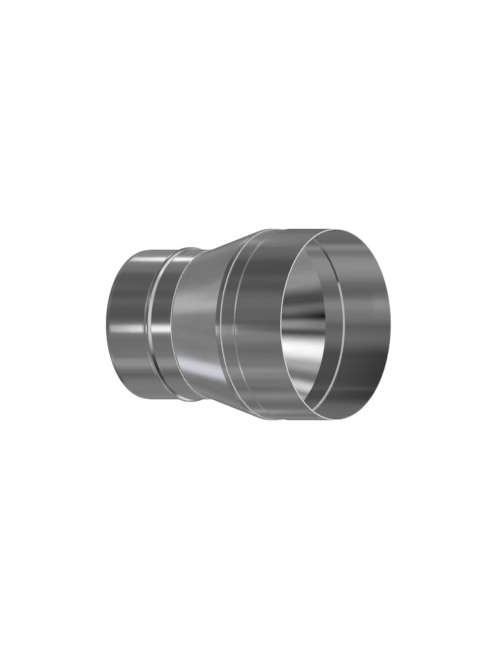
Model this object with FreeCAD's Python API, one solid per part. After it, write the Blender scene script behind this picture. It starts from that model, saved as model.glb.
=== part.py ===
import FreeCAD, Part
import math
import os

# Chimney adapter for single-wall stainless flue: it widens a 160 flue to a 200 one.
# It is three rolled sheets, each lapped into the one below it, so that water that runs down
# the wall stays inside the flue: the spigot sleeve, the cone and the socket sleeve.
# Sizes are in millimetres. Z is the flue's axis: the spigot's tip is at Z = 0 and the socket
# opens upwards.

# Sheet and laps
sheet = 1.0  # wall of all three sheets
lap_clearance = 0.1  # radial gap between two lapped sheets
seat_clearance = 0.3  # height of the socket sleeve's end over the cone's upper bend

# Spigot sleeve: the male end, its stop bead and a short neck
spigot_outer_radius = 79.0  # slides into a socket of inner radius 80
lead_in_length = 5.0  # tapered tip that finds the socket
lead_in_depth = 0.5  # how far the tip's radius is drawn in
insertion_length = 50.0  # from the tip to the foot of the bead
bead_height = 2.7  # stands out of the sleeve and stops at the rim of the socket it enters
bead_foot_width = 9.0  # between the two corners at its feet
bead_crest_width = 3.4  # between the two bends at its crest
bead_bend = 2.0  # radius of those bends on the hollow side of the sheet
spigot_neck_length = 25.5  # from the bead to the sheet's upper edge

# Cone: a collar inside the spigot sleeve, the cone itself, a collar round the socket sleeve
lower_lap_length = 10.0  # collar hidden in the spigot sleeve
cone_length = 73.5  # from bend to bend
upper_lap_length = 6.2  # collar round the socket sleeve

# Socket sleeve: a neck, a shoulder and the female end
neck_length = 22.5  # from the cone's upper bend to the shoulder
shoulder_length = 2.6  # slope from the neck out to the socket
shoulder_depth = 1.0  # how far the socket is opened past the neck
socket_depth = 58.8  # from the shoulder to the rim, longer than the spigot that enters it
socket_inner_radius = 100.0  # takes a spigot of outer radius 99

# What follows from those sizes
spigot_top = insertion_length + bead_foot_width + spigot_neck_length
cone_top = spigot_top + cone_length
shoulder_bottom = cone_top + neck_length
shoulder_top = shoulder_bottom + shoulder_length
rim_height = shoulder_top + socket_depth
socket_outer_radius = socket_inner_radius + sheet
neck_outer_radius = socket_outer_radius - shoulder_depth
lower_collar_radius = spigot_outer_radius - sheet - lap_clearance
upper_collar_radius = neck_outer_radius + lap_clearance + sheet

FLUE_CENTRE = FreeCAD.Vector(0, 0, 0)
FLUE_AXIS = FreeCAD.Vector(0, 0, 1)
MITRE = 2  # the kind of offset that keeps a sheet's corners sharp on both faces


def bend_arc(before, corner, after, radius):
    """The arc that rounds a corner and runs smoothly into the straight runs on both sides."""
    back = (before - corner).normalize()
    onward = (after - corner).normalize()
    inward = (back + onward).normalize()
    half_opening = back.getAngle(onward) / 2
    reach = radius / math.tan(half_opening)
    centre = corner + inward * (radius / math.sin(half_opening))
    return Part.Arc(corner + back * reach, centre - inward * radius, corner + onward * reach)


def bent_line(stations):
    """A line through stations of radius and height.

    A station with a third number is a bend of that radius, and the others are sharp.
    """
    points = [FreeCAD.Vector(radius, 0, height) for radius, height, *bend in stations]
    edges = []
    start = points[0]
    for number, (radius, height, *bend) in enumerate(stations[1:], 1):
        end = points[number]
        if bend:
            arc = bend_arc(points[number - 1], end, points[number + 1], *bend)
            edges.append(Part.LineSegment(start, arc.StartPoint).toShape())
            edges.append(arc.toShape())
            start = arc.EndPoint
        else:
            edges.append(Part.LineSegment(start, end).toShape())
            start = end
    return Part.Wire(edges)


def rolled_sheet(outer_face):
    """A sheet of even thickness, rolled round the flue, from the stations of its outer face."""
    outer_line = bent_line(outer_face)
    section = outer_line.makeOffset2D(sheet, join=MITRE, fill=True, openResult=True)
    return section.revolve(FLUE_CENTRE, FLUE_AXIS)


def spigot_sleeve():
    """The male end: a drawn-in tip, a plain run, the rolled stop bead and a neck."""
    radius = spigot_outer_radius
    crest = radius + bead_height
    crest_bend = bead_bend + sheet
    bead_top = insertion_length + bead_foot_width
    flank = (bead_foot_width - bead_crest_width) / 2
    return rolled_sheet([
        (radius - lead_in_depth, 0),
        (radius, lead_in_length),
        (radius, insertion_length),
        (crest, insertion_length + flank, crest_bend),
        (crest, bead_top - flank, crest_bend),
        (radius, bead_top),
        (radius, spigot_top),
    ])


def cone():
    """The widening: a collar inside the spigot sleeve, the cone, a collar round the socket's neck."""
    return rolled_sheet([
        (lower_collar_radius, spigot_top - lower_lap_length),
        (lower_collar_radius, spigot_top),
        (upper_collar_radius, cone_top),
        (upper_collar_radius, cone_top + upper_lap_length),
    ])


def socket_sleeve():
    """The female end: a neck that stands in the cone's upper collar, a shoulder and the socket."""
    return rolled_sheet([
        (neck_outer_radius, cone_top + seat_clearance),
        (neck_outer_radius, shoulder_bottom),
        (socket_outer_radius, shoulder_top),
        (socket_outer_radius, rim_height),
    ])


os.makedirs("parts", exist_ok=True)
for make_sheet in (spigot_sleeve, cone, socket_sleeve):
    make_sheet().exportStep("parts/" + make_sheet.__name__ + ".step")
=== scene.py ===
import math

import bpy
from mathutils import Matrix, Vector


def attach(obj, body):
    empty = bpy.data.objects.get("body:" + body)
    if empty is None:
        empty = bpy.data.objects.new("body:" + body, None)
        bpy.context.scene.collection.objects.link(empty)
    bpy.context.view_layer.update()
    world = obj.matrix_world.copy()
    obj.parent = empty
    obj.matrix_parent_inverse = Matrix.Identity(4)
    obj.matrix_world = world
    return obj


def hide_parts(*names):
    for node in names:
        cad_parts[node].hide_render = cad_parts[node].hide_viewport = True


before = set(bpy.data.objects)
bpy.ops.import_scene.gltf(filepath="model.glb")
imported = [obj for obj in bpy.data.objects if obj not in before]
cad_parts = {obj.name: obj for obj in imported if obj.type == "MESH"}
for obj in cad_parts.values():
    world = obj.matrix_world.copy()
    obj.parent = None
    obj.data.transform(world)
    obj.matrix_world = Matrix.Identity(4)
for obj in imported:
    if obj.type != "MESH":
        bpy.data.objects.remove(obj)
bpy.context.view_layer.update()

# Chimney adapter for single-wall stainless flue. It stands on its spigot, with the socket up.
# Lengths are in millimetres and become metres where a mesh, a node or a light takes them.
MM = 0.001

# Sheet: the wall of all three sheets and the radius on the hollow side of their bends
SHEET = 1.0
INSIDE_BEND = 1.5
OUTSIDE_BEND = INSIDE_BEND + SHEET

# Spigot sleeve: the male end with its drawn-in tip, the stop bead and a short neck
SPIGOT_RADIUS = 79.0
LEAD_IN_LENGTH = 5.0
LEAD_IN_DEPTH = 0.5
LEAD_IN_BEND = 10.0
INSERTION_LENGTH = 50.0
BEAD_HEIGHT = 2.7
BEAD_FOOT_WIDTH = 9.0
BEAD_CREST_WIDTH = 3.4
BEAD_CREST_BEND = 3.0
BEAD_FOOT_BEND = 0.5
SPIGOT_NECK_LENGTH = 25.5
BEAD_TOP = INSERTION_LENGTH + BEAD_FOOT_WIDTH
SPIGOT_TOP = BEAD_TOP + SPIGOT_NECK_LENGTH

# Cone: its collars are one sheet inside the spigot sleeve and one sheet outside the neck
LAP_CLEARANCE = 0.1
LOWER_LAP = 10.0
CONE_LENGTH = 73.5
UPPER_LAP = 6.2
CONE_TOP = SPIGOT_TOP + CONE_LENGTH

# Socket sleeve: a neck in the cone's upper collar, a shoulder and the female end
SOCKET_RADIUS = 101.0
SEAT_CLEARANCE = 0.3
NECK_LENGTH = 22.5
SHOULDER_LENGTH = 2.6
SHOULDER_DEPTH = 1.0
SOCKET_DEPTH = 58.8
NECK_RADIUS = SOCKET_RADIUS - SHOULDER_DEPTH
NECK_START = CONE_TOP + SEAT_CLEARANCE
SHOULDER_START = CONE_TOP + NECK_LENGTH
SHOULDER_END = SHOULDER_START + SHOULDER_LENGTH
RIM = SHOULDER_END + SOCKET_DEPTH

# Collars of the cone, which follow from the sleeves that they are lapped with
LOWER_COLLAR_RADIUS = SPIGOT_RADIUS - SHEET - LAP_CLEARANCE
UPPER_COLLAR_RADIUS = NECK_RADIUS + LAP_CLEARANCE + SHEET

# Weld seam that closes each sheet: rolled flat, so it stands just proud of both faces. The three
# seams lie on one side of the flue, a little apart from each other.
SEAM_WIDTH = 2.4
SEAM_HEIGHT = 0.08
SPIGOT_SEAM = 8.0  # degrees from +X
CONE_SEAM = 20.0
SOCKET_SEAM = 5.0

# Shearing rolls the outer corner of each cut end over
ROLL_OVER = 0.3

# Mesh: steps in each bend, longest step along the sheet, and facets round the flue, which are
# crowded towards the seam and spread out opposite it
BEND_STEPS = 6
ROLL_OVER_STEPS = 2
LONGEST_STEP = 4.0
FACETS_ROUND = 384
SEAM_CROWDING = 0.85
SHARP_EDGE = 15.0  # degrees

# Sleeves of light in the flue: their gap from the wall behind them, how far the shoulder's stops
# short of its bends, and where the neck's begins
LIGHT_GAP = 1.3
SHOULDER_LIGHT_GAP = 0.9
SHOULDER_LIGHT_INSET = 0.3
NECK_LIGHT_START = CONE_TOP - 0.4

# Strips and rings of light: how far they lie below the flue
LOW_LIGHT_DEPTH = 300.0

# Camera of the photograph: a parallel view, 35.26 degrees above the side of the flue, rolled so
# that the flue lies across the picture with its spigot to the left
MM_PER_PIXEL = 1.0541
PICTURE_HEIGHT = 649  # pixels
VIEW_CENTRE_HEIGHT = 122.5
CAMERA_DISTANCE = 1500.0


def linear(colour):
    """An sRGB hex colour as linear red, green, blue and alpha."""
    channels = [int(colour[n:n + 2], 16) / 255 for n in (1, 3, 5)]
    return [c / 12.92 if c <= 0.04045 else ((c + 0.055) / 1.055) ** 2.4 for c in channels] + [1.0]


def add(tree, kind, inputs=(), **settings):
    """Adds a node with its settings. Each input takes a value, a socket, or a node's first output."""
    node = tree.nodes.new(kind)
    for name, value in settings.items():
        setattr(node, name, value)
    for name, value in dict(inputs).items():
        sockets = [socket for socket in node.inputs if socket.enabled]
        socket = sockets[name] if isinstance(name, int) else next(s for s in sockets if s.name == name)
        if isinstance(value, bpy.types.Node):
            value = next(output for output in value.outputs if output.enabled)
        if isinstance(value, bpy.types.NodeSocket):
            tree.links.new(value, socket)
        else:
            socket.default_value = value
    return node


def empty_material(name):
    """A new material and its node tree, with no node in it yet."""
    material = bpy.data.materials.new(name)
    material.use_nodes = True
    material.node_tree.nodes.clear()
    return material, material.node_tree


# Finishes

def cold_rolled_steel():
    """Stainless sheet as it comes off the cold mill, then rolled to a tube and welded.

    It gives the eye a soft, even sheen with long highlights that blur at their borders, faint
    streaks along the flue, and along the seam a fine rippled line with a trace of straw and blue.
    """
    streak_width = 12.0
    streak_stretch = 0.06
    smoothest, roughest = 0.14, 0.2
    grain_size = 0.5  # the real mill grain is finer than the picture can show
    grain_depth = 0.02
    ripple_spacing = 1.3
    ripple_depth = 0.03
    seam_roughness = 0.3
    tint_width = 7.0

    material, tree = empty_material("cold_rolled_steel")
    place = add(tree, "ShaderNodeTexCoord").outputs["Object"]

    along_flue = add(tree, "ShaderNodeMapping", {"Vector": place, "Scale": (1.0, 1.0, streak_stretch)})
    streaks = add(tree, "ShaderNodeTexNoise", {"Vector": along_flue, "Detail": 4.0,
                                               "Scale": 1 / (streak_width * MM)})
    sheen = add(tree, "ShaderNodeMix", {"Factor": streaks, "A": linear("#A4A4A5"), "B": linear("#C4C4C5")},
                data_type="RGBA")
    roughness = add(tree, "ShaderNodeMapRange", {"Value": streaks, "From Min": 0.3, "From Max": 0.7,
                                                 "To Min": smoothest, "To Max": roughest})

    from_seam = add(tree, "ShaderNodeAttribute", attribute_name="from_seam").outputs["Fac"]
    seam = add(tree, "ShaderNodeMapRange", {"Value": from_seam, "From Min": SEAM_WIDTH / 2 * MM,
                                            "From Max": SEAM_WIDTH / 4 * MM},
               interpolation_type="SMOOTHSTEP")
    tint = add(tree, "ShaderNodeMapRange", {"Value": from_seam, "From Min": tint_width / 2 * MM,
                                            "From Max": 0.0}, interpolation_type="SMOOTHSTEP")
    straw_and_blue = add(tree, "ShaderNodeValToRGB", {"Fac": tint})
    ramp = straw_and_blue.color_ramp
    ramp.elements[0].color = linear("#FFFFFF")
    ramp.elements[1].color = linear("#F2F2F4")
    for position, colour in ((0.3, "#F6EFE0"), (0.6, "#E6E9F2")):
        ramp.elements.new(position).color = linear(colour)
    colour = add(tree, "ShaderNodeMix", {"Factor": 1.0, "A": sheen, "B": straw_and_blue},
                 data_type="RGBA", blend_type="MULTIPLY")
    rough_seam = add(tree, "ShaderNodeMix", {"Factor": seam, "A": roughness, "B": seam_roughness})

    grain = add(tree, "ShaderNodeTexNoise", {"Vector": place, "Scale": 1 / (grain_size * MM),
                                             "Detail": 2.0})
    grain_bump = add(tree, "ShaderNodeBump", {"Height": grain, "Strength": 0.02,
                                              "Distance": grain_depth * MM})
    ripple_scale = math.pi / 10 / (ripple_spacing * MM)  # a wave texture repeats each pi / 10
    ripples = add(tree, "ShaderNodeTexWave", {"Vector": place, "Scale": ripple_scale, "Distortion": 1.0},
                  bands_direction="Z")
    ripple_bump = add(tree, "ShaderNodeBump", {"Height": ripples, "Strength": seam, "Normal": grain_bump,
                                               "Distance": ripple_depth * MM})

    steel = add(tree, "ShaderNodeBsdfPrincipled", {"Base Color": colour, "Metallic": 1.0,
                                                   "Roughness": rough_seam, "Normal": ripple_bump})
    add(tree, "ShaderNodeOutputMaterial", {"Surface": steel})
    return material


def sheared_edge():
    """The cut end of the sheet: bare metal torn by the shear, which scatters light and looks pale."""
    tear_size = 0.6
    tear_depth = 0.05

    material, tree = empty_material("sheared_edge")
    place = add(tree, "ShaderNodeTexCoord").outputs["Object"]
    tears = add(tree, "ShaderNodeTexNoise", {"Vector": place, "Scale": 1 / (tear_size * MM), "Detail": 2.0})
    colour = add(tree, "ShaderNodeMix", {"Factor": tears, "A": linear("#D6D6D8"), "B": linear("#E4E4E4")},
                 data_type="RGBA")
    bump = add(tree, "ShaderNodeBump", {"Height": tears, "Strength": 0.1, "Distance": tear_depth * MM})
    edge = add(tree, "ShaderNodeBsdfPrincipled", {"Base Color": colour, "Metallic": 0.2, "Roughness": 0.8,
                                                  "Normal": bump})
    add(tree, "ShaderNodeOutputMaterial", {"Surface": edge})
    return material


# Rolled sheets

def rolled_sheet_tree(sheet_finish, edge_finish):
    """Geometry Nodes that roll a sheet round the flue.

    They take the line of the sheet's outer face in the XZ plane. They round its bends, give it the
    sheet's thickness on the side of the flue, and sweep that section round the flue with a seam.
    """
    tree = bpy.data.node_groups.new("rolled sheet", "GeometryNodeTree")
    tree.interface.new_socket("Outer face", in_out="INPUT", socket_type="NodeSocketGeometry")
    for name in ("Thickness", "Roll-over", "Longest step", "Seam azimuth", "Seam crowding", "Seam width",
                 "Seam height", "Sharp edge"):
        tree.interface.new_socket(name, in_out="INPUT", socket_type="NodeSocketFloat")
    for name in ("Bend steps", "Roll-over steps", "Facets round"):
        tree.interface.new_socket(name, in_out="INPUT", socket_type="NodeSocketInt")
    tree.interface.new_socket("Sheet", in_out="OUTPUT", socket_type="NodeSocketGeometry")
    size = add(tree, "NodeGroupInput").outputs
    position = add(tree, "GeometryNodeInputPosition")
    index = add(tree, "GeometryNodeInputIndex")

    # The outer face: bends rounded, then long runs divided so that no bend's shading spreads
    line = add(tree, "GeometryNodeMeshToCurve", {"Mesh": size["Outer face"]})
    bend = add(tree, "GeometryNodeInputNamedAttribute", {"Name": "bend"}, data_type="FLOAT")
    rounded = add(tree, "GeometryNodeFilletCurve", {"Curve": line, "Count": size["Bend steps"],
                                                    "Radius": bend}, mode="POLY")
    next_index = add(tree, "ShaderNodeMath", {0: index, 1: 1.0}, operation="ADD")
    next_point = add(tree, "GeometryNodeFieldAtIndex", {"Value": position, "Index": next_index},
                     data_type="FLOAT_VECTOR", domain="POINT")
    step = add(tree, "ShaderNodeVectorMath", {0: position, 1: next_point}, operation="DISTANCE")
    cuts = add(tree, "ShaderNodeMath", {0: step.outputs["Value"], 1: size["Longest step"]},
               operation="DIVIDE")
    outer_line = add(tree, "GeometryNodeSubdivideCurve", {"Curve": rounded, "Cuts": cuts})

    # The section: a strip one sheet thick on the side of the flue, of which the outline is kept
    at_end = add(tree, "GeometryNodeCurveEndpointSelection")
    ended_line = add(tree, "GeometryNodeStoreNamedAttribute", {"Geometry": outer_line, "Name": "end",
                                                               "Value": at_end},
                     data_type="FLOAT", domain="POINT")
    tangent = add(tree, "GeometryNodeInputTangent")
    inward = add(tree, "ShaderNodeVectorMath", {0: tangent, 1: (0.0, 1.0, 0.0)}, operation="CROSS_PRODUCT")
    facing_in = add(tree, "GeometryNodeSetCurveNormal", {"Curve": ended_line, "Normal": inward},
                    mode="FREE")
    through = add(tree, "ShaderNodeCombineXYZ", {"X": size["Thickness"]})
    line_through = add(tree, "GeometryNodeCurvePrimitiveLine", {"End": through})
    outer_first = add(tree, "ShaderNodeMath", {0: 1.0, 1: index}, operation="SUBTRACT")
    thickness = add(tree, "GeometryNodeStoreNamedAttribute", {"Geometry": line_through, "Name": "outer",
                                                              "Value": outer_first},
                    data_type="FLOAT", domain="POINT")
    strip = add(tree, "GeometryNodeCurveToMesh", {"Curve": facing_in, "Profile Curve": thickness})
    faces_at_edge = add(tree, "GeometryNodeInputMeshEdgeNeighbors")
    on_outline = add(tree, "FunctionNodeCompare", {"A": faces_at_edge, "B": 1}, data_type="INT",
                     operation="EQUAL")
    square_outline = add(tree, "GeometryNodeMeshToCurve", {"Mesh": strip, "Selection": on_outline})
    end = add(tree, "GeometryNodeInputNamedAttribute", {"Name": "end"}, data_type="FLOAT")
    outer = add(tree, "GeometryNodeInputNamedAttribute", {"Name": "outer"}, data_type="FLOAT")
    outer_corner = add(tree, "ShaderNodeMath", {0: end, 1: outer}, operation="MULTIPLY")
    corner_radius = add(tree, "ShaderNodeMath", {0: outer_corner, 1: size["Roll-over"]},
                        operation="MULTIPLY")
    outline = add(tree, "GeometryNodeFilletCurve", {"Curve": square_outline, "Radius": corner_radius,
                                                    "Count": size["Roll-over steps"]}, mode="POLY")

    # The flue's circle, on which the spigot's outer face runs: its points crowd towards the seam
    circle_radius = SPIGOT_RADIUS * MM
    turn = add(tree, "ShaderNodeMath", {0: index, 1: 2 * math.pi}, operation="MULTIPLY")
    even_angle = add(tree, "ShaderNodeMath", {0: turn, 1: size["Facets round"]}, operation="DIVIDE")
    sway = add(tree, "ShaderNodeMath", {0: even_angle}, operation="SINE")
    shift = add(tree, "ShaderNodeMath", {0: sway, 1: size["Seam crowding"]}, operation="MULTIPLY")
    crowded_angle = add(tree, "ShaderNodeMath", {0: even_angle, 1: shift}, operation="SUBTRACT")
    angle = add(tree, "ShaderNodeMath", {0: crowded_angle, 1: size["Seam azimuth"]}, operation="ADD")
    cosine = add(tree, "ShaderNodeMath", {0: angle}, operation="COSINE")
    sine = add(tree, "ShaderNodeMath", {0: angle}, operation="SINE")
    around = add(tree, "ShaderNodeCombineXYZ", {"X": cosine, "Y": sine})
    on_circle = add(tree, "ShaderNodeVectorMath", {0: around, "Scale": circle_radius}, operation="SCALE")
    circle = add(tree, "GeometryNodeCurvePrimitiveCircle", {"Resolution": size["Facets round"]},
                 mode="RADIUS")
    flue_circle = add(tree, "GeometryNodeSetPosition", {"Geometry": circle, "Position": on_circle})
    upright = add(tree, "GeometryNodeSetCurveNormal", {"Curve": flue_circle}, mode="Z_UP")

    # The sweep: a profile's X runs outwards from the circle and its Y downwards
    place = add(tree, "ShaderNodeSeparateXYZ", {"Vector": position})
    off_circle = add(tree, "ShaderNodeMath", {0: place.outputs["X"], 1: circle_radius},
                     operation="SUBTRACT")
    downward = add(tree, "ShaderNodeMath", {0: place.outputs["Z"], 1: -1.0}, operation="MULTIPLY")
    in_profile = add(tree, "ShaderNodeCombineXYZ", {"X": off_circle, "Y": downward})
    profile = add(tree, "GeometryNodeSetPosition", {"Geometry": outline, "Position": in_profile})
    swept = add(tree, "GeometryNodeCurveToMesh", {"Curve": upright, "Profile Curve": profile})
    faced_out = add(tree, "GeometryNodeFlipFaces", {"Mesh": swept})

    # The seam: how far each point is from it along the sheet, and a ridge over it on both faces
    flat_place = add(tree, "ShaderNodeCombineXYZ", {"X": place.outputs["X"], "Y": place.outputs["Y"]})
    radius = add(tree, "ShaderNodeVectorMath", {0: flat_place}, operation="LENGTH")
    azimuth = add(tree, "ShaderNodeMath", {0: place.outputs["Y"], 1: place.outputs["X"]},
                  operation="ARCTAN2")
    from_azimuth = add(tree, "ShaderNodeMath", {0: azimuth, 1: size["Seam azimuth"]}, operation="SUBTRACT")
    wrapped = add(tree, "ShaderNodeMath", {0: from_azimuth, 1: math.pi, 2: -math.pi}, operation="WRAP")
    turned = add(tree, "ShaderNodeMath", {0: wrapped}, operation="ABSOLUTE")
    from_seam = add(tree, "ShaderNodeMath", {0: turned, 1: radius.outputs["Value"]}, operation="MULTIPLY")
    known = add(tree, "GeometryNodeStoreNamedAttribute", {"Geometry": faced_out, "Name": "from_seam",
                                                          "Value": from_seam}, data_type="FLOAT")
    half_width = add(tree, "ShaderNodeMath", {0: size["Seam width"], 1: 0.5}, operation="MULTIPLY")
    rise = add(tree, "ShaderNodeMapRange", {"Value": from_seam, "From Min": half_width, "From Max": 0.0,
                                            "To Min": 0.0, "To Max": size["Seam height"]},
               interpolation_type="SMOOTHSTEP")
    normal = add(tree, "GeometryNodeInputNormal")
    outward = add(tree, "ShaderNodeVectorMath", {0: flat_place}, operation="NORMALIZE")
    facing = add(tree, "ShaderNodeVectorMath", {0: normal, 1: outward}, operation="DOT_PRODUCT")
    side = add(tree, "ShaderNodeMath", {0: facing.outputs["Value"]}, operation="SIGN")
    height = add(tree, "ShaderNodeMath", {0: rise, 1: side}, operation="MULTIPLY")
    ridge = add(tree, "ShaderNodeVectorMath", {0: outward, "Scale": height}, operation="SCALE")
    seamed = add(tree, "GeometryNodeSetPosition", {"Geometry": known, "Offset": ridge})

    # Shading, and the finish of the two cut ends, whose faces have no corner but the line's ends,
    # so that their mean of "end" is 1
    nearly_all_ends = 0.9
    smooth = add(tree, "GeometryNodeSetShadeSmooth", {"Geometry": seamed}, domain="FACE")
    edge_angle = add(tree, "GeometryNodeInputMeshEdgeAngle")
    is_sharp = add(tree, "FunctionNodeCompare", {"A": edge_angle, "B": size["Sharp edge"]},
                   data_type="FLOAT", operation="GREATER_THAN")
    creased = add(tree, "GeometryNodeSetShadeSmooth", {"Geometry": smooth, "Selection": is_sharp,
                                                       "Shade Smooth": False}, domain="EDGE")
    whole = add(tree, "GeometryNodeRealizeInstances", {"Geometry": creased})
    sheet = add(tree, "GeometryNodeSetMaterial", {"Geometry": whole, "Material": sheet_finish})
    is_end = add(tree, "FunctionNodeCompare", {"A": end, "B": nearly_all_ends}, data_type="FLOAT",
                 operation="GREATER_THAN")
    ended = add(tree, "GeometryNodeSetMaterial", {"Geometry": sheet, "Selection": is_end,
                                                  "Material": edge_finish})
    add(tree, "NodeGroupOutput", {"Sheet": ended})
    return tree


def rolled_sheet(name, outer_face, seam_azimuth, tree):
    """The sheet of a CAD node as a plain mesh.

    It is rolled from stations of its outer face, from below: radius, height and, at a bend, its radius.
    """
    line = bpy.data.meshes.new("rolled_" + name)
    line.from_pydata([(radius * MM, 0, height * MM) for radius, height, *bend in outer_face],
                     [(n, n + 1) for n in range(len(outer_face) - 1)], [])
    bends = line.attributes.new("bend", "FLOAT", "POINT")
    bends.data.foreach_set("value", [sum(bend) * MM for radius, height, *bend in outer_face])
    sheet = bpy.data.objects.new("rolled_" + name, line)
    bpy.context.scene.collection.objects.link(sheet)

    roll = sheet.modifiers.new("rolled sheet", "NODES")
    roll.node_group = tree
    sizes = {
        "Thickness": SHEET * MM,
        "Roll-over": ROLL_OVER * MM,
        "Longest step": LONGEST_STEP * MM,
        "Seam azimuth": math.radians(seam_azimuth),
        "Seam crowding": SEAM_CROWDING,
        "Seam width": SEAM_WIDTH * MM,
        "Seam height": SEAM_HEIGHT * MM,
        "Sharp edge": math.radians(SHARP_EDGE),
        "Bend steps": BEND_STEPS,
        "Roll-over steps": ROLL_OVER_STEPS,
        "Facets round": FACETS_ROUND,
    }
    for socket in tree.interface.items_tree:
        if socket.name in sizes:
            roll[socket.identifier] = sizes[socket.name]

    graph = bpy.context.evaluated_depsgraph_get()
    mesh = bpy.data.meshes.new_from_object(sheet.evaluated_get(graph), preserve_all_data_layers=True,
                                           depsgraph=graph)
    sheet.modifiers.clear()
    sheet.data = mesh
    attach(sheet, "root")
    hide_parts(name)


def spigot_sleeve(tree):
    """The male end: a drawn-in tip, a plain run, the rolled stop bead and a neck."""
    crest = SPIGOT_RADIUS + BEAD_HEIGHT
    flank = (BEAD_FOOT_WIDTH - BEAD_CREST_WIDTH) / 2
    rolled_sheet("spigot_sleeve", [
        (SPIGOT_RADIUS - LEAD_IN_DEPTH, 0),
        (SPIGOT_RADIUS, LEAD_IN_LENGTH, LEAD_IN_BEND),
        (SPIGOT_RADIUS, INSERTION_LENGTH, BEAD_FOOT_BEND),
        (crest, INSERTION_LENGTH + flank, BEAD_CREST_BEND),
        (crest, BEAD_TOP - flank, BEAD_CREST_BEND),
        (SPIGOT_RADIUS, BEAD_TOP, BEAD_FOOT_BEND),
        (SPIGOT_RADIUS, SPIGOT_TOP),
    ], SPIGOT_SEAM, tree)


def cone(tree):
    """The widening: a collar inside the spigot sleeve, the cone, a collar round the socket's neck."""
    rolled_sheet("cone", [
        (LOWER_COLLAR_RADIUS, SPIGOT_TOP - LOWER_LAP),
        (LOWER_COLLAR_RADIUS, SPIGOT_TOP, INSIDE_BEND),
        (UPPER_COLLAR_RADIUS, CONE_TOP, OUTSIDE_BEND),
        (UPPER_COLLAR_RADIUS, CONE_TOP + UPPER_LAP),
    ], CONE_SEAM, tree)


def socket_sleeve(tree):
    """The female end: a neck that stands in the cone's upper collar, a shoulder and the socket."""
    rolled_sheet("socket_sleeve", [
        (NECK_RADIUS, NECK_START),
        (NECK_RADIUS, SHOULDER_START, INSIDE_BEND),
        (SOCKET_RADIUS, SHOULDER_END, OUTSIDE_BEND),
        (SOCKET_RADIUS, RIM),
    ], SOCKET_SEAM, tree)


# Studio

def soft_band_tree():
    """How far an angle lies inside a band: 1 in the band, and 0 past its soft borders.

    A height or a radius in millimetres can take an angle's place. It wraps round at 360 as an angle
    does, so it stays within 180 of the band's centre.
    """
    tree = bpy.data.node_groups.new("soft band", "ShaderNodeTree")
    for name in ("Angle", "Centre", "Half width", "Border"):
        tree.interface.new_socket(name, in_out="INPUT", socket_type="NodeSocketFloat")
    tree.interface.new_socket("Share", in_out="OUTPUT", socket_type="NodeSocketFloat")
    band = add(tree, "NodeGroupInput").outputs
    away = add(tree, "ShaderNodeMath", {0: band["Angle"], 1: band["Centre"]}, operation="SUBTRACT")
    wrapped = add(tree, "ShaderNodeMath", {0: away, 1: 180.0, 2: -180.0}, operation="WRAP")
    distance = add(tree, "ShaderNodeMath", {0: wrapped}, operation="ABSOLUTE")
    outer = add(tree, "ShaderNodeMath", {0: band["Half width"], 1: band["Border"]}, operation="ADD")
    share = add(tree, "ShaderNodeMapRange", {"Value": distance, "From Min": outer,
                                             "From Max": band["Half width"]},
                interpolation_type="SMOOTHSTEP")
    add(tree, "NodeGroupOutput", {"Share": share})
    return tree


def soft_boxes(tree, angles, room, boxes):
    """The light of a grey room and of soft boxes in it.

    The angles are an azimuth and an elevation, a height or a radius. A box has a centre and a half
    width for the first of them or for both, then its border and level. A span may have a border of
    its own after its half width. A negative level is a black flag.
    """
    soft_band = soft_band_tree()
    light = room
    for *spans, border, level in boxes:
        glow = level
        for angle, (centre, half_width, *own_border) in zip(angles, spans):
            band = add(tree, "ShaderNodeGroup", {"Angle": angle, "Centre": centre, "Half width": half_width,
                                                 "Border": sum(own_border) or border}, node_tree=soft_band)
            glow = add(tree, "ShaderNodeMath", {0: glow, 1: band}, operation="MULTIPLY")
        light = add(tree, "ShaderNodeMath", {0: light, 1: glow}, operation="ADD")
    return light


def studio_azimuth(tree, along):
    """Degrees round the flue: 0 towards the photograph's camera, more towards its picture's top."""
    towards_top = add(tree, "ShaderNodeMath", {0: along.outputs["X"], 1: -1.0}, operation="MULTIPLY")
    towards_camera = add(tree, "ShaderNodeMath", {0: along.outputs["Y"], 1: -1.0}, operation="MULTIPLY")
    turn = add(tree, "ShaderNodeMath", {0: towards_top, 1: towards_camera}, operation="ARCTAN2")
    return add(tree, "ShaderNodeMath", {0: turn}, operation="DEGREES")


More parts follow.
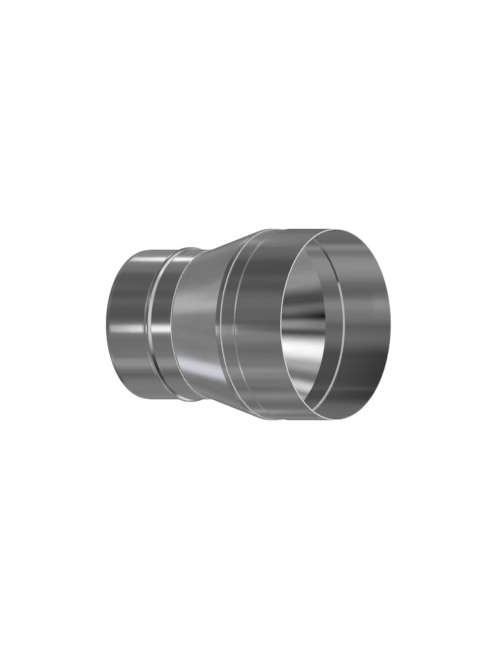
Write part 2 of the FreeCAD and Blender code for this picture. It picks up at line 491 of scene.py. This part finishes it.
def studio_world():
    """A white surround. Metal sees a grey room with soft boxes and black flags in it instead.

    What is matt is lit by the surround too, most of all from the side of the photograph's camera.
    """
    room = 0.2
    cool_box = ((-90, 7), (-59, 4, 6), 12)
    boxes = (  # azimuth and half width, elevation and half height, border, level
        ((0, 180), (90, 48), 12, 0.35),
        ((65, 100), (90, 60), 15, 0.2),
        ((5, 30), (38, 16), 8, 0.5),
        ((66, 18), (42, 8), 8, 0.3),
        ((95, 12), (31, 6), 9, 1.0),
        ((115, 8), (20, 5), 8, 0.9),
        ((131, 5), (9, 4), 8, 0.3),
        ((-134, 8), (10, 6), 10, 1.1),
        ((-59, 10), (44, 9), 9, -0.42),
        ((-81, 5), (38, 6), 8, -0.22),
        ((-44, 32), (-20, 30), 8, 0.13),
        ((-75, 22), (6, 12), 10, 0.2),
        ((125, 28), (-38, 3), 16, 0.18),
        ((-125, 28), (-20, 20), 16, 0.165),
        ((-142, 6), (-48, 5), 7, 0.06),
        ((157, 4), (-44, 3), 6, -0.06),
        ((105, 8), (-58, 5), 8, -0.055),
        ((48, 3), (-35, 8), 5, -0.04),
        ((15, 3), (-35, 8), 5, -0.04),
        ((-62, 4), (-35, 25), 8, 0.27),
        ((0, 180), (-90, 33), 8, 0.23),
        (*cool_box, 1.1),
        ((51, 12), (-67, 8), 20, 0.5),
        ((142, 12), (-50, 6), 6, 0.07),
        ((35, 5), (-12, 10), 8, 0.6),
        ((-102, 12), (-12, 10), 8, 0.35),
        ((152, 9), (-12, 10), 8, 0.5),
    )
    matt_room = 0.5
    matt_boxes = (((0, 90), (45, 60), 30, 0.9),)
    world = bpy.data.worlds.new("studio")
    bpy.context.scene.world = world
    world.use_nodes = True
    world.cycles.sampling_method = "NONE"
    tree = world.node_tree
    tree.nodes.clear()
    direction = add(tree, "ShaderNodeTexCoord").outputs["Generated"]
    along = add(tree, "ShaderNodeSeparateXYZ", {"Vector": direction})
    rise = add(tree, "ShaderNodeMath", {0: along.outputs["Z"]}, operation="ARCSINE")
    angles = studio_azimuth(tree, along), add(tree, "ShaderNodeMath", {0: rise}, operation="DEGREES")
    ray = add(tree, "ShaderNodeLightPath").outputs
    on_matt = add(tree, "ShaderNodeMix", {"Factor": ray["Is Diffuse Ray"], "A": 1.0,
                                          "B": soft_boxes(tree, angles, matt_room, matt_boxes)})
    strength = add(tree, "ShaderNodeMix", {"Factor": ray["Is Glossy Ray"], "A": on_matt,
                                           "B": soft_boxes(tree, angles, room, boxes)})
    in_cool_box = add(tree, "ShaderNodeMath", {0: soft_boxes(tree, angles, 0.0, ((*cool_box, 1.0),)),
                                               1: ray["Is Glossy Ray"]}, operation="MULTIPLY")
    tone = add(tree, "ShaderNodeMix", {"Factor": in_cool_box, "A": linear("#FFFFFF"),
                                       "B": linear("#F6F6FF")}, data_type="RGBA")
    surround = add(tree, "ShaderNodeBackground", {"Color": tone, "Strength": strength})
    add(tree, "ShaderNodeOutputWorld", {"Surface": surround})


def stage_piece(name, corners, faces, material):
    """A piece of the stage, from corners in millimetres."""
    mesh = bpy.data.meshes.new(name)
    mesh.from_pydata([[n * MM for n in corner] for corner in corners], [], faces)
    mesh.materials.append(material)
    piece = bpy.data.objects.new(name, mesh)
    bpy.context.scene.collection.objects.link(piece)
    return piece


def only_metal_sees(light):
    """Leaves a light in the reflections of metal and nowhere else."""
    light.data.materials[0].cycles.emission_sampling = "NONE"
    for rays in ("camera", "diffuse", "transmission", "volume_scatter", "shadow"):
        setattr(light, "visible_" + rays, False)


def pale_floor():
    """A white floor, on which the flue leaves a faint soft shadow."""
    reach = 6000.0
    glow = 0.93
    shade = "#595959"

    material, tree = empty_material("pale_floor")
    matt = add(tree, "ShaderNodeBsdfDiffuse", {"Color": linear(shade)})
    own_light = add(tree, "ShaderNodeEmission", {"Color": linear("#FFFFFF"), "Strength": glow})
    both = add(tree, "ShaderNodeAddShader", {0: matt, 1: own_light})
    add(tree, "ShaderNodeOutputMaterial", {"Surface": both})
    material.cycles.emission_sampling = "NONE"
    corners = [(-reach, -reach, 0), (reach, -reach, 0), (reach, reach, 0), (-reach, reach, 0)]
    floor = stage_piece("floor", corners, [(0, 1, 2, 3)], material)
    floor.visible_glossy = False


def strip_light(name, azimuth, offset, brightest, spread, level):
    """A long light low down on one side, which only metal sees, brightest at one place along it.

    Both straight sleeves show it as a line along the flue, and it fades from one to the other.
    """
    near, far = 440.0, 960.0
    half_angle = math.radians(5.0)

    material, tree = empty_material(name)
    turn = math.radians(azimuth)
    along = Vector((-math.sin(turn), -math.cos(turn), 0.0))
    across = Vector((-along.y, along.x, 0.0))
    start = across * offset
    place = add(tree, "ShaderNodeTexCoord").outputs["Object"]
    distance = add(tree, "ShaderNodeVectorMath", {0: place, 1: along}, operation="DOT_PRODUCT")
    off_peak = add(tree, "ShaderNodeMath", {0: distance.outputs["Value"], 1: brightest * MM},
                   operation="SUBTRACT")
    share = add(tree, "ShaderNodeMath", {0: off_peak, 1: spread * MM}, operation="DIVIDE")
    square = add(tree, "ShaderNodeMath", {0: share, 1: share}, operation="MULTIPLY")
    power = add(tree, "ShaderNodeMath", {0: square, 1: -0.5}, operation="MULTIPLY")
    fall = add(tree, "ShaderNodeMath", {0: power}, operation="EXPONENT")
    strength = add(tree, "ShaderNodeMath", {0: fall, 1: level}, operation="MULTIPLY")
    glow = add(tree, "ShaderNodeEmission", {"Color": linear("#FFFFFF"), "Strength": strength})
    clear = add(tree, "ShaderNodeBsdfTransparent")
    over_room = add(tree, "ShaderNodeAddShader", {0: glow, 1: clear})
    add(tree, "ShaderNodeOutputMaterial", {"Surface": over_room})
    corners = []
    for reach, side in ((near, -1), (far, -1), (far, 1), (near, 1)):
        corner = start + along * reach + across * side * reach * math.tan(half_angle)
        corners.append((corner.x, corner.y, -LOW_LIGHT_DEPTH))
    only_metal_sees(stage_piece(name, corners, [(0, 1, 2, 3)], material))


def turned_light(name, stations, material):
    """A light turned round the flue's axis from stations of radius and height, which only metal sees."""
    facets = 120
    corners, faces = [], []
    for ring, (radius, height) in enumerate(stations):
        for facet in range(facets):
            turn = 2 * math.pi * facet / facets
            corners.append((radius * math.cos(turn), radius * math.sin(turn), height))
            if ring:
                start, onward = ring * facets + facet, ring * facets + (facet + 1) % facets
                faces.append((start - facets, onward - facets, onward, start))
    only_metal_sees(stage_piece(name, corners, faces, material))


def low_ring_light(name, inner, outer, lights, flags):
    """A flat ring round the flue, low down and near enough for each part of it to mirror its own place.

    Lights glow over the room behind the ring and flags darken it. A box spans an azimuth and radii.
    """
    material, tree = empty_material(name)
    place = add(tree, "ShaderNodeTexCoord").outputs["Object"]
    along = add(tree, "ShaderNodeSeparateXYZ", {"Vector": place})
    flat_place = add(tree, "ShaderNodeVectorMath", {0: place, 1: (1.0, 1.0, 0.0)}, operation="MULTIPLY")
    radius = add(tree, "ShaderNodeVectorMath", {0: flat_place}, operation="LENGTH").outputs["Value"]
    radius_mm = add(tree, "ShaderNodeMath", {0: radius, 1: MM}, operation="DIVIDE")
    angles = studio_azimuth(tree, along), radius_mm
    light = soft_boxes(tree, angles, 0.0, lights)
    share = soft_boxes(tree, angles, 1.0, flags)
    glow = add(tree, "ShaderNodeEmission", {"Color": linear("#FFFFFF"), "Strength": light})
    clear = add(tree, "ShaderNodeBsdfTransparent", {"Color": share})
    over_room = add(tree, "ShaderNodeAddShader", {0: glow, 1: clear})
    add(tree, "ShaderNodeOutputMaterial", {"Surface": over_room})
    turned_light(name, ((inner, -LOW_LIGHT_DEPTH), (outer, -LOW_LIGHT_DEPTH)), material)


def wall_light(name, stations, room, boxes):
    """A thin sleeve of light just off the flue's inside wall, which only the wall behind it sees.

    Without it the wall would see mostly itself, ever darker from turn to turn. It gives the inside
    the long grey and bright lines of the photograph. Stations are radius and height. A box spans an
    azimuth and, where it has a second span, a height.
    """
    material, tree = empty_material(name)
    place = add(tree, "ShaderNodeTexCoord").outputs["Object"]
    along = add(tree, "ShaderNodeSeparateXYZ", {"Vector": place})
    height = add(tree, "ShaderNodeMath", {0: along.outputs["Z"], 1: MM}, operation="DIVIDE")
    light = soft_boxes(tree, (studio_azimuth(tree, along), height), room, boxes)
    glow = add(tree, "ShaderNodeEmission", {"Color": linear("#FFFFFF"), "Strength": light})
    clear = add(tree, "ShaderNodeBsdfTransparent")
    from_inside = add(tree, "ShaderNodeNewGeometry").outputs["Backfacing"]
    one_way = add(tree, "ShaderNodeMixShader", {"Fac": from_inside, 1: glow, 2: clear})
    add(tree, "ShaderNodeOutputMaterial", {"Surface": one_way})
    turned_light(name, stations, material)


def lights_under_the_flue():
    """Lights and flags low down and near, which the outside of the flue mirrors."""
    strip_light("upper_strip_light", azimuth=122.0, offset=78.0, brightest=552.0, spread=80.0, level=1.95)
    strip_light("middle_strip_light", azimuth=-6.3, offset=-4.0, brightest=627.0, spread=62.0, level=2.65)
    strip_light("lower_strip_light", azimuth=-132.0, offset=-92.0, brightest=705.0, spread=42.0, level=0.46)
    under_socket = (840, 120, 30)  # radii that only the socket mirrors in the photograph
    low_ring_light("outer_ring_light", inner=690.0, outer=990.0, lights=(
        ((-90.5, 2), under_socket, 6, 0.14),
        ((-78, 5), under_socket, 6, 0.05),
        ((-45, 2), under_socket, 5, 0.04),
        ((-15, 2), under_socket, 6, 0.13),
        ((20, 10), under_socket, 8, 0.09),
    ), flags=(
        ((-136, 3), under_socket, 6, -0.25),
        ((-109, 6), under_socket, 6, -0.2),
        ((-64, 4), under_socket, 6, -0.22),
        ((-26, 5), under_socket, 5, -0.12),
        ((80, 18), under_socket, 10, -0.26),
        ((115, 12), under_socket, 10, -0.1),
        ((149, 10), under_socket, 10, -0.36),
    ))
    # The inner ring dims the cone's bright lines at its wide end
    low_ring_light("inner_ring_light", inner=240.0, outer=460.0, lights=(), flags=(
        ((-91, 4), (380, 30, 40), 8, -0.5),
        ((47, 6), (320, 25, 45), 9, -0.4),
    ))


def lights_in_the_flue():
    """The light just off each inside wall: the spigot's and the cone's, the socket's, the shoulder's."""
    wall_light("cone_light", (
        (SPIGOT_RADIUS - SHEET - LIGHT_GAP, 0.0),
        (LOWER_COLLAR_RADIUS - SHEET - LIGHT_GAP, SPIGOT_TOP),
        (NECK_RADIUS - SHEET - LIGHT_GAP, NECK_LIGHT_START),
    ), room=0.15, boxes=(
        ((150.5, 2), 10, 0.45),
        ((134.5, 5), 8, 0.32),
        ((112, 16), 10, 0.15),
        ((170, 0.5), 4.5, 0.18),
        ((180, 0.5), 4.5, 0.47),
        ((176, 4), (165, 5, 40), 5, -0.13),
        ((179, 1), (165, 5, 40), 3, -0.1),
        ((-164.5, 0.5), 10, 1.93),
        ((-155.5, 1), 8, 0.47),
        ((-138.5, 0.5), 6, 0.96),
        ((-129, 1), 4.5, 0.5),
        ((-140, 12), 8, 0.24),
        ((-108, 10), 10, 0.2),
    ))
    wall_light("socket_light", (
        (NECK_RADIUS - SHEET - LIGHT_GAP, NECK_LIGHT_START),
        (NECK_RADIUS - SHEET - LIGHT_GAP, SHOULDER_START),
        (SOCKET_RADIUS - SHEET - LIGHT_GAP, SHOULDER_END),
        (SOCKET_RADIUS - SHEET - LIGHT_GAP, RIM),
    ), room=0.09, boxes=(
        ((141, 31), 16, 0.16),
        ((126.5, 0), 6, 0.21),
        ((142.5, 0.5), 17.5, 0.31),
        ((168, 0.5), 6.5, 0.21),
        ((167, 0), (237, 11), 11, 0.08),
        ((175.5, 0.5), 5.5, 0.13),
        ((-172.5, 0), 12, 0.17),
        ((-148, 14), (172, 6, 64), 24, 0.055),
        ((-138, 0), 3, 0.04),
        ((-112.5, 6.5), 13, 0.155),
    ))
    wall_light("shoulder_light", (
        (NECK_RADIUS - SHEET - SHOULDER_LIGHT_GAP, SHOULDER_START + SHOULDER_LIGHT_INSET),
        (SOCKET_RADIUS - SHEET - SHOULDER_LIGHT_GAP, SHOULDER_END - SHOULDER_LIGHT_INSET),
    ), room=0.12, boxes=(
        ((-150, 54), 4, 0.9),
        ((108, 15), 10, 0.28),
    ))


def photograph_camera():
    """The photograph's view: parallel, with the flue across the picture and its socket to the right."""
    right = Vector((0.0, 1.0, math.sqrt(2.0))).normalized()
    up = Vector((-1.0, 0.0, 0.0))
    back = right.cross(up)
    centre = Vector((0.0, 0.0, VIEW_CENTRE_HEIGHT * MM))
    camera = bpy.data.cameras.new("camera")
    camera.type = "ORTHO"
    camera.ortho_scale = PICTURE_HEIGHT * MM_PER_PIXEL * MM
    camera_object = bpy.data.objects.new("camera", camera)
    camera_object.matrix_world = (Matrix.Translation(centre + back * CAMERA_DISTANCE * MM)
                                  @ Matrix((right, up, back)).transposed().to_4x4())
    bpy.context.scene.collection.objects.link(camera_object)
    bpy.context.scene.camera = camera_object


photograph_camera()
tree = rolled_sheet_tree(cold_rolled_steel(), sheared_edge())
spigot_sleeve(tree)
cone(tree)
socket_sleeve(tree)
pale_floor()
lights_under_the_flue()
lights_in_the_flue()
studio_world()
bpy.context.scene.view_settings.view_transform = "Standard"
